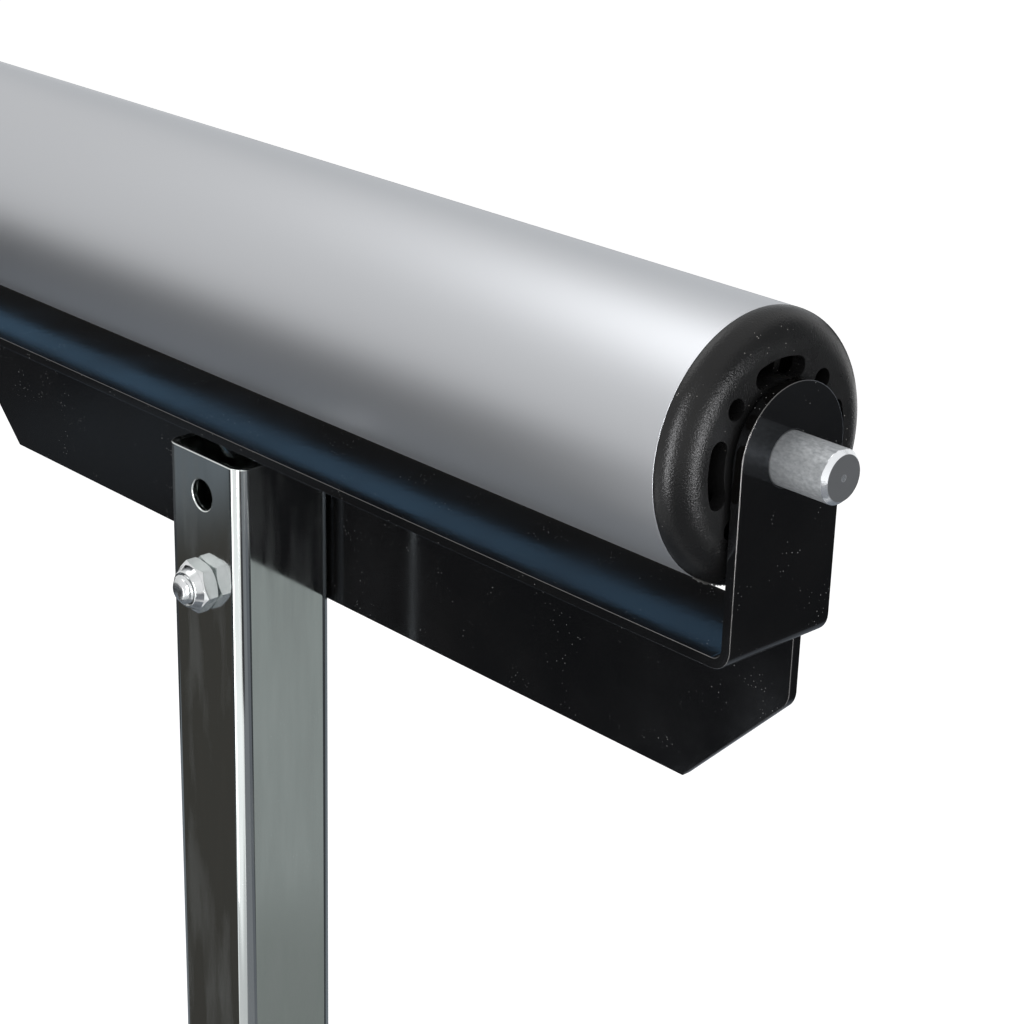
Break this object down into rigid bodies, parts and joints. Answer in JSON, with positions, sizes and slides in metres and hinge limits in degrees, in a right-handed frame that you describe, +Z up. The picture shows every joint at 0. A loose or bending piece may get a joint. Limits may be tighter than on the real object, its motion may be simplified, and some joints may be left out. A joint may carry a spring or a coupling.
{
  "type": "roller stand",
  "caption": "Height-adjustable roller stand: a free-turning roller in a folded bracket on a clamped telescopic column with splayed legs.",
  "frame": {"origin": "on the floor under the middle of the square column", "axes": "+Z up along the column, +X along the roller towards the end that the picture shows, -Y to the front, where the head bolt's nut and the clamp knob are"},
  "size_m": [0.472, 0.472, 0.8787],
  "materials": {
    "roller_aluminium": "satin extruded tube",
    "cap_plastic": "fine leather grain",
    "black_paint": "gloss black enamel",
    "zinc_plate": "bright zinc plate",
    "zinc_bolt": "bright zinc plate",
    "axle_steel": "dull zinc plate",
    "spring_steel": "phosphated",
    "bearing_steel": "ground and polished",
    "shield_rubber": "moulded",
    "cage_nylon": "moulded",
    "guide_plastic": "moulded",
    "knob_plastic": "moulded",
    "pad_brass": "turned",
    "foot_rubber": "moulded"
  },
  "bodies": {
    "base": {"outer_column": "black_paint", "outer_plug": "guide_plastic", "guide_sleeve": "guide_plastic", "clamp_boss": "black_paint", "leg_right": "black_paint", "leg_rear": "black_paint", "leg_left": "black_paint", "leg_front": "black_paint", "leg_bolts": "zinc_bolt", "leg_washers": "zinc_bolt", "leg_nuts": "zinc_bolt", "foot_right": "foot_rubber", "foot_rear": "foot_rubber", "foot_left": "foot_rubber", "foot_front": "foot_rubber", "foot_screws": "zinc_bolt", "foot_nuts": "zinc_bolt"},
    "head": {"head_bracket": "black_paint", "axle": "axle_steel", "axle_clips": "spring_steel", "spacer_bushes": "axle_steel", "bearing_inner_rings": "bearing_steel", "head_bolt": "zinc_bolt", "head_nut": "zinc_bolt", "head_washer": "zinc_bolt", "inner_column": "zinc_plate", "inner_glide": "guide_plastic"},
    "roller": {"roller_tube": "roller_aluminium", "end_cap_right": "cap_plastic", "end_cap_left": "cap_plastic", "bearing_outer_rings": "bearing_steel", "bearing_shields": "shield_rubber"},
    "ball_set_right": {"bearing_balls_right": "bearing_steel", "bearing_cage_right": "cage_nylon"},
    "ball_set_left": {"bearing_balls_left": "bearing_steel", "bearing_cage_left": "cage_nylon"},
    "clamp_pad": {"clamp_pad": "pad_brass"},
    "clamp_knob": {"clamp_screw": "zinc_bolt", "clamp_knob": "knob_plastic"}
  },
  "joints": [
    {"name": "height_slide", "type": "slide", "parent": "base", "child": "head", "axis": [0, 0, 1], "range_m": [-0.16, 0.12]},
    {"name": "roller_spin", "type": "hinge", "parent": "head", "child": "roller", "pos_m": [0, 0.001, 0.8487], "axis": [1, 0, 0], "continuous": true},
    {"name": "ball_orbit_right", "type": "hinge", "parent": "head", "child": "ball_set_right", "pos_m": [0.17, 0.001, 0.8487], "axis": [1, 0, 0], "continuous": true},
    {"name": "ball_orbit_left", "type": "hinge", "parent": "head", "child": "ball_set_left", "pos_m": [-0.165, 0.001, 0.8487], "axis": [1, 0, 0], "continuous": true},
    {"name": "clamp_feed", "type": "slide", "parent": "base", "child": "clamp_pad", "axis": [0, -1, 0], "range_m": [0, 0.003]},
    {"name": "clamp_turn", "type": "hinge", "parent": "clamp_pad", "child": "clamp_knob", "pos_m": [0, -0.05, 0.54], "axis": [0, -1, 0], "range_deg": [0, 720]}
  ],
  "couplings": [
    {"joint": "ball_orbit_right", "follows": "roller_spin", "ratio": 0.6175},
    {"joint": "ball_orbit_left", "follows": "roller_spin", "ratio": 0.6175},
    {"joint": "clamp_feed", "follows": "clamp_turn", "m_per_rad": 0.00023873}
  ]
}
